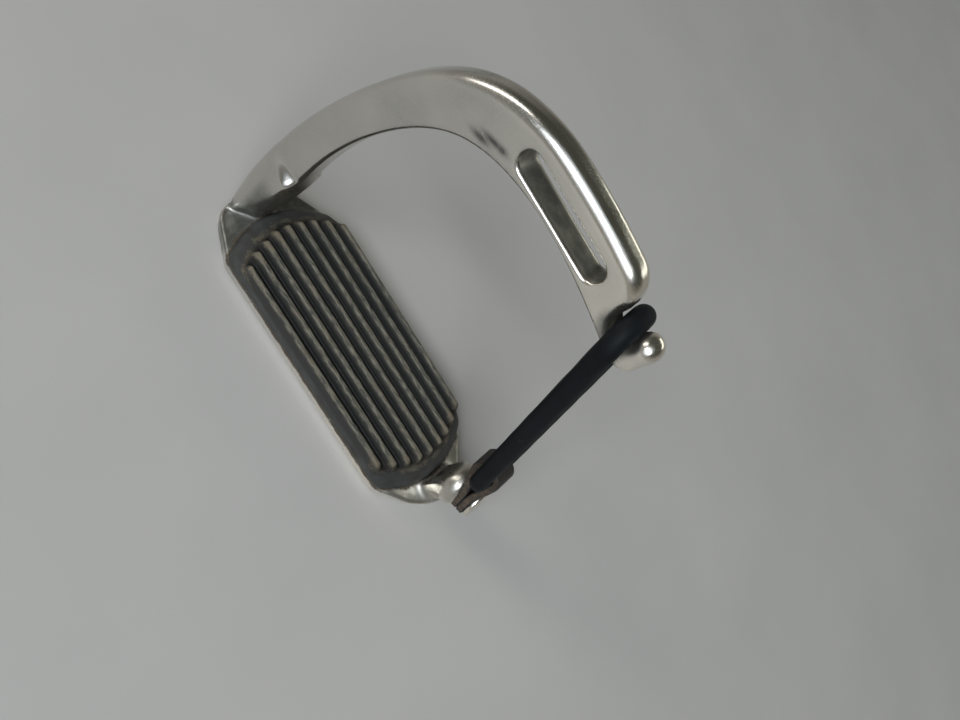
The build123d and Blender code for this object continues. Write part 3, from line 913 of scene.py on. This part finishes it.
# Hand-polished stainless: warm grey, smudged roughness, hairlines, and a brown cover where its mask says: real
# dirt beside the pad and painted shade round the stud, under the leather.
def steelFinish(dust, grain, scratches):
    material, tree, shader, at = newFinish("polishedStainless", Metallic=1.0)
    smudge = noise(tree, at, 55.0, 5.0, 0.6, 0.4)
    lines = use(tree, scratches, at, Width=0.00016, Length=0.011)
    fine = use(tree, grain, at, Size=0.0009, Fineness=3.0)
    along = put(tree, "SeparateXYZ", None, {"Vector": at}).outputs["X"]
    # Painted shade: the colour greys further towards the closed branch, standing in for a darker reflection there;
    # the smudge noise adds real patchiness.
    towardsBranch = rangeOf(tree, along, 0.03, -0.035, 0.0, 0.75)
    smudgeAndShadeAmount = maths(tree, "MULTIPLY_ADD", rangeOf(tree, smudge, 0.35, 0.65), 0.25, towardsBranch)
    colour = mixColour(tree, smudgeAndShadeAmount, steel["colour"], steel["smudgeAndShadeGrey"])
    cloudy = noise(tree, at, 260.0, 5.0, 0.6)
    cloudy = rangeOf(tree, cloudy, 0.2, 0.6, 0.62, 1.0)
    # Painted shade: the steel darkens towards this grey where the mask says, broken up by noise; the roughness
    # rises there too.
    dullAndShaded = maths(tree, "MULTIPLY", attribute(tree, "dullAndShaded"), cloudy, clamp=True)
    colour = mixColour(tree, dullAndShaded, colour, steel["dullAndShaded"])
    # Brown cover: real dirt beside the pad and painted shade round the stud under the leather.
    dirtAndShadeMask = attribute(tree, "dirtAndShade")
    dirtAndShadeCover = use(tree, dust, at, Size=0.004, Specks=0.0005, Amount=dirtAndShadeMask)
    dirtAndShadeCover = maths(tree, "MULTIPLY", dirtAndShadeCover, rangeOf(tree, dirtAndShadeMask, 0.05, 0.45), clamp=True)
    markEdge = noise(tree, at, 900.0, 4.0, 0.7)
    mark = maths(tree, "MULTIPLY", attribute(tree, "mark"), rangeOf(tree, markEdge, 0.22, 0.42), clamp=True)
    colour = mixColour(tree, mark, colour, steel["mark"])
    colour = mixColour(tree, dirtAndShadeCover, colour, steel["dirtAndShade"])
    roughness = rangeOf(tree, smudge, 0.3, 0.7, steel["smooth"], steel["rough"])
    roughness = maths(tree, "MULTIPLY_ADD", lines, 0.10, roughness)
    roughness = maths(tree, "MULTIPLY_ADD", dullAndShaded, 0.30, roughness)
    roughness = maths(tree, "MULTIPLY_ADD", dirtAndShadeCover, 0.45, roughness)
    roughness = maths(tree, "MULTIPLY_ADD", mark, 0.2, roughness, clamp=True)
    tree.links.new(colour, shader.inputs["Base Color"])
    tree.links.new(roughness, shader.inputs["Roughness"])
    bare = maths(tree, "SUBTRACT", 1.0, maths(tree, "MULTIPLY", dirtAndShadeCover, 0.9))
    tree.links.new(bare, shader.inputs["Metallic"])
    height = maths(tree, "MULTIPLY_ADD", lines, -0.35, fine)
    bumpTo(tree, shader, height, 0.000012)
    return material


rubber = {
    # painted shade for the grooves
    "shadedGroove": (0.004, 0.004, 0.0035),
    "body": (0.032, 0.032, 0.029),
    # painted sheen: a lighter bluish grey for the sides
    "flankSheen": (0.070, 0.073, 0.070),
    "crest": (0.175, 0.162, 0.125),
    "dust": (0.17, 0.142, 0.097),
}


# Worn black rubber: grooves darkened with painted shade, greyed crests, tan dust thickest at the ribs' ends, a
# painted bluish sheen on the flank.
def padFinish(dust, grain):
    material, tree, shader, at = newFinish("padRubber", Specular_IOR_Level=0.28)
    crest, shadedGroove = attribute(tree, "crest"), attribute(tree, "shadedGroove")
    ends, onTop = attribute(tree, "ends"), attribute(tree, "onTop")
    patch = noise(tree, at, 120.0, 6.0, 0.65)
    fibre = drawnNoise(tree, at, (0.35, 2.2, 1.0), 900.0, 4.0, 0.6)
    # Painted sheen: the pad's sides lighten in patches towards a bluish grey.
    side = mixColour(tree, rangeOf(tree, patch, 0.35, 0.65), rubber["body"], rubber["flankSheen"])
    colour = mixColour(tree, onTop, side, rubber["body"])
    worn = maths(tree, "MULTIPLY", crest, rangeOf(tree, fibre, 0.40, 0.60, 0.08, 1.0), clamp=True)
    colour = mixColour(tree, worn, colour, rubber["crest"])
    amount = maths(tree, "MULTIPLY_ADD", ends, 0.46, maths(tree, "MULTIPLY_ADD", crest, 0.34, 0.20))
    dusty = use(tree, dust, at, Size=0.0045, Specks=0.0006, Amount=amount)
    dusty = maths(tree, "MULTIPLY", dusty, rangeOf(tree, onTop, 0.0, 1.0, 0.25, 0.62), clamp=True)
    colour = mixColour(tree, dusty, colour, rubber["dust"])
    # Painted shade: the grooves go near black.
    colour = mixColour(tree, maths(tree, "MULTIPLY", shadedGroove, 0.93), colour, rubber["shadedGroove"])
    tree.links.new(colour, shader.inputs["Base Color"])
    clean = rangeOf(tree, patch, 0.3, 0.7, 0.50, 0.66)
    roughness = maths(tree, "MULTIPLY_ADD", dusty, 0.25, clean, clamp=True)
    tree.links.new(roughness, shader.inputs["Roughness"])
    fine = use(tree, grain, at, Size=0.0007, Fineness=3.5)
    bumpTo(tree, shader, maths(tree, "MULTIPLY_ADD", dusty, 0.3, fine), 0.00016)
    return material


ringColours = {
    "dark": (0.0028, 0.0036, 0.0044),
    "bloom": (0.008, 0.0098, 0.012),
    "specks": (0.22, 0.21, 0.19),
}


# Smooth blue-black rubber with a soft bloom and a few dust specks.
def ringFinish(dust, grain):
    material, tree, shader, at = newFinish("ringRubber", Specular_IOR_Level=0.12)
    patch = noise(tree, at, 90.0, 5.0, 0.6)
    colour = mixColour(tree, rangeOf(tree, patch, 0.3, 0.7), ringColours["dark"], ringColours["bloom"])
    specks = use(tree, dust, at, Size=0.008, Specks=0.0003, Amount=0.22)
    specks = maths(tree, "MULTIPLY", specks, 0.35)
    colour = mixColour(tree, specks, colour, ringColours["specks"])
    tree.links.new(colour, shader.inputs["Base Color"])
    tree.links.new(rangeOf(tree, patch, 0.3, 0.7, 0.50, 0.64), shader.inputs["Roughness"])
    bumpTo(tree, shader, use(tree, grain, at, Size=0.0012, Fineness=4.0), 0.00006)
    return material


leather = {
    "face": (0.008, 0.0075, 0.0075),
    "worn": (0.026, 0.021, 0.018),
    "cut": (0.028, 0.019, 0.014),
    "fibre": (0.11, 0.078, 0.052),
    "dust": (0.16, 0.13, 0.10),
}


# Dark dyed strap: pebbled pores and creases on the faces, tan fibres on the cut edges.
def leatherFinish(dust, grain):
    material, tree, shader, at = newFinish("strapLeather")
    patch = noise(tree, at, 160.0, 6.0, 0.6)
    cells = put(tree, "TexVoronoi", {"Scale": 1500.0, "feature": "DISTANCE_TO_EDGE"}, {"Vector": at})
    pores = rangeOf(tree, cells.outputs["Distance"], 0.0, 0.25)
    creases = drawnNoise(tree, at, (1.0, 0.25, 1.6), 700.0, 5.0, 0.65)
    face = mixColour(tree, rangeOf(tree, patch, 0.35, 0.65), leather["face"], leather["worn"])
    fibres = drawnNoise(tree, at, (0.4, 3.0, 0.4), 1400.0, 4.0, 0.7)
    cut = mixColour(tree, rangeOf(tree, fibres, 0.3, 0.7), leather["cut"], leather["fibre"])
    raw = rangeOf(tree, maths(tree, "MULTIPLY_ADD", fibres, 0.3, attribute(tree, "rawEdge")), 0.95, 1.2)
    colour = mixColour(tree, raw, face, cut)
    dusty = maths(tree, "MULTIPLY", use(tree, dust, at, Size=0.005, Specks=0.0004, Amount=0.4), 0.4)
    colour = mixColour(tree, dusty, colour, leather["dust"])
    tree.links.new(colour, shader.inputs["Base Color"])
    tree.links.new(maths(tree, "MULTIPLY_ADD", raw, 0.25, 0.52, clamp=True), shader.inputs["Roughness"])
    height = maths(tree, "MULTIPLY_ADD", pores, 0.4, maths(tree, "MULTIPLY", creases, 0.6))
    height = maths(tree, "MULTIPLY_ADD", use(tree, grain, at, Size=0.0005, Fineness=3.0), 0.4, height)
    bumpTo(tree, shader, height, 0.00015)
    return material


room = {
    "floor": (0.465, 0.45, 0.425),
    "floorSize": 3.0,
    "bright": (1.25, 1.38, 1.55),       # the sky in front, over the camera
    "brightWay": (0.05, -0.66, 0.75),
    "dim": (0.07, 0.072, 0.06),         # overhead and behind
    "low": (0.36, 0.35, 0.32),          # round the horizon
    "strength": 0.8,
}
lamps = [
    # name, direction from the object, distance, width, height, watts, colour
    ("frontSky", (0.05, -0.66, 0.75), 1.1, 0.9, 0.35, 8.5, (0.90, 0.95, 1.0)),
    ("leftSoft", (-0.85, -0.30, 0.50), 1.2, 0.25, 0.8, 3.0, (1.0, 0.97, 0.93)),
    ("backFill", (0.3, 0.9, 0.45), 1.4, 0.9, 0.25, 1.5, (0.93, 0.95, 0.86)),
]
lens = {
    "place": (2.247, -123.223, 213.613),
    "forward": (0.09928, 0.62705, -0.77263),
    "up": (-0.84489, 0.46329, 0.26743),
    "millimetres": 27.14,
}


# A plain pale floor with a faint unevenness in its colour.
def makeFloor():
    half = room["floorSize"] / 2
    mesh = bpy.data.meshes.new("floor")
    corners = [(-half, -half, 0), (half, -half, 0), (half, half, 0), (-half, half, 0)]
    mesh.from_pydata(corners, [], [(0, 1, 2, 3)])
    floor = bpy.data.objects.new("floor", mesh)
    bpy.context.scene.collection.objects.link(floor)
    material, tree, shader, at = newFinish("paleFloor", Roughness=0.75)
    patch = noise(tree, at, 14.0, 4.0, 0.5)
    darker = tuple(0.94 * c for c in room["floor"])
    colour = mixColour(tree, rangeOf(tree, patch, 0.3, 0.7), darker, room["floor"])
    tree.links.new(colour, shader.inputs["Base Color"])
    mesh.materials.append(material)


# A soft sky: bright in front of the object, dim overhead and behind, and pale round the horizon.
def makeWorld():
    world = bpy.data.worlds.new("softSky")
    bpy.context.scene.world = world
    world.use_nodes = True
    tree = world.node_tree
    way = put(tree, "TexCoord").outputs["Generated"]
    up = put(tree, "SeparateXYZ", None, {"Vector": way}).outputs["Z"]
    toBright = put(tree, "VectorMath", {"operation": "DOT_PRODUCT"}, {"Vector": way})
    toBright.inputs[1].default_value = Vector(room["brightWay"]).normalized()
    lobe = rangeOf(tree, toBright.outputs["Value"], 0.80, 0.97)
    colour = mixColour(tree, rangeOf(tree, up, 0.05, 0.5), room["low"], room["dim"])
    colour = mixColour(tree, lobe, colour, room["bright"])
    back = tree.nodes["Background"]
    tree.links.new(colour, back.inputs["Color"])
    back.inputs["Strength"].default_value = room["strength"]


def makeLamps():
    middle = Vector((0, 0, 0.06))
    for name, way, distance, width, height, watts, colour in lamps:
        data = bpy.data.lights.new(name, "AREA")
        data.shape = "RECTANGLE"
        data.size, data.size_y = width, height
        data.energy = watts
        data.color = colour
        lamp = bpy.data.objects.new(name, data)
        way = Vector(way).normalized()
        lamp.location = middle + way * distance
        lamp.rotation_euler = (-way).to_track_quat("-Z", "Y").to_euler()
        bpy.context.scene.collection.objects.link(lamp)


def makeCamera():
    data = bpy.data.cameras.new("camera")
    data.lens = lens["millimetres"]
    data.clip_start, data.clip_end = 0.005, 20
    camera = bpy.data.objects.new("camera", data)
    bpy.context.scene.collection.objects.link(camera)
    back = -Vector(lens["forward"]).normalized()
    up = Vector(lens["up"])
    up = (up - back * up.dot(back)).normalized()
    right = up.cross(back)
    turn = Matrix((right, up, back)).transposed().to_4x4()
    camera.matrix_world = Matrix.Translation(Vector(lens["place"]) * mm) @ turn
    bpy.context.scene.camera = camera


def build():
    dust, grain, scratches = dustGroup(), grainGroup(), scratchGroup()
    print("making the pieces")
    finishes = {
        makeCasting: steelFinish(dust, grain, scratches),
        makePad: padFinish(dust, grain),
        makeRing: ringFinish(dust, grain),
        makeTab: leatherFinish(dust, grain),
    }
    for make, finish in finishes.items():
        make().data.materials.append(finish)
    print("setting the floor, lights and camera")
    makeFloor()
    makeWorld()
    makeLamps()
    makeCamera()
    bpy.context.scene.view_settings.view_transform = "Standard"


build()
bpy.context.view_layer.update()
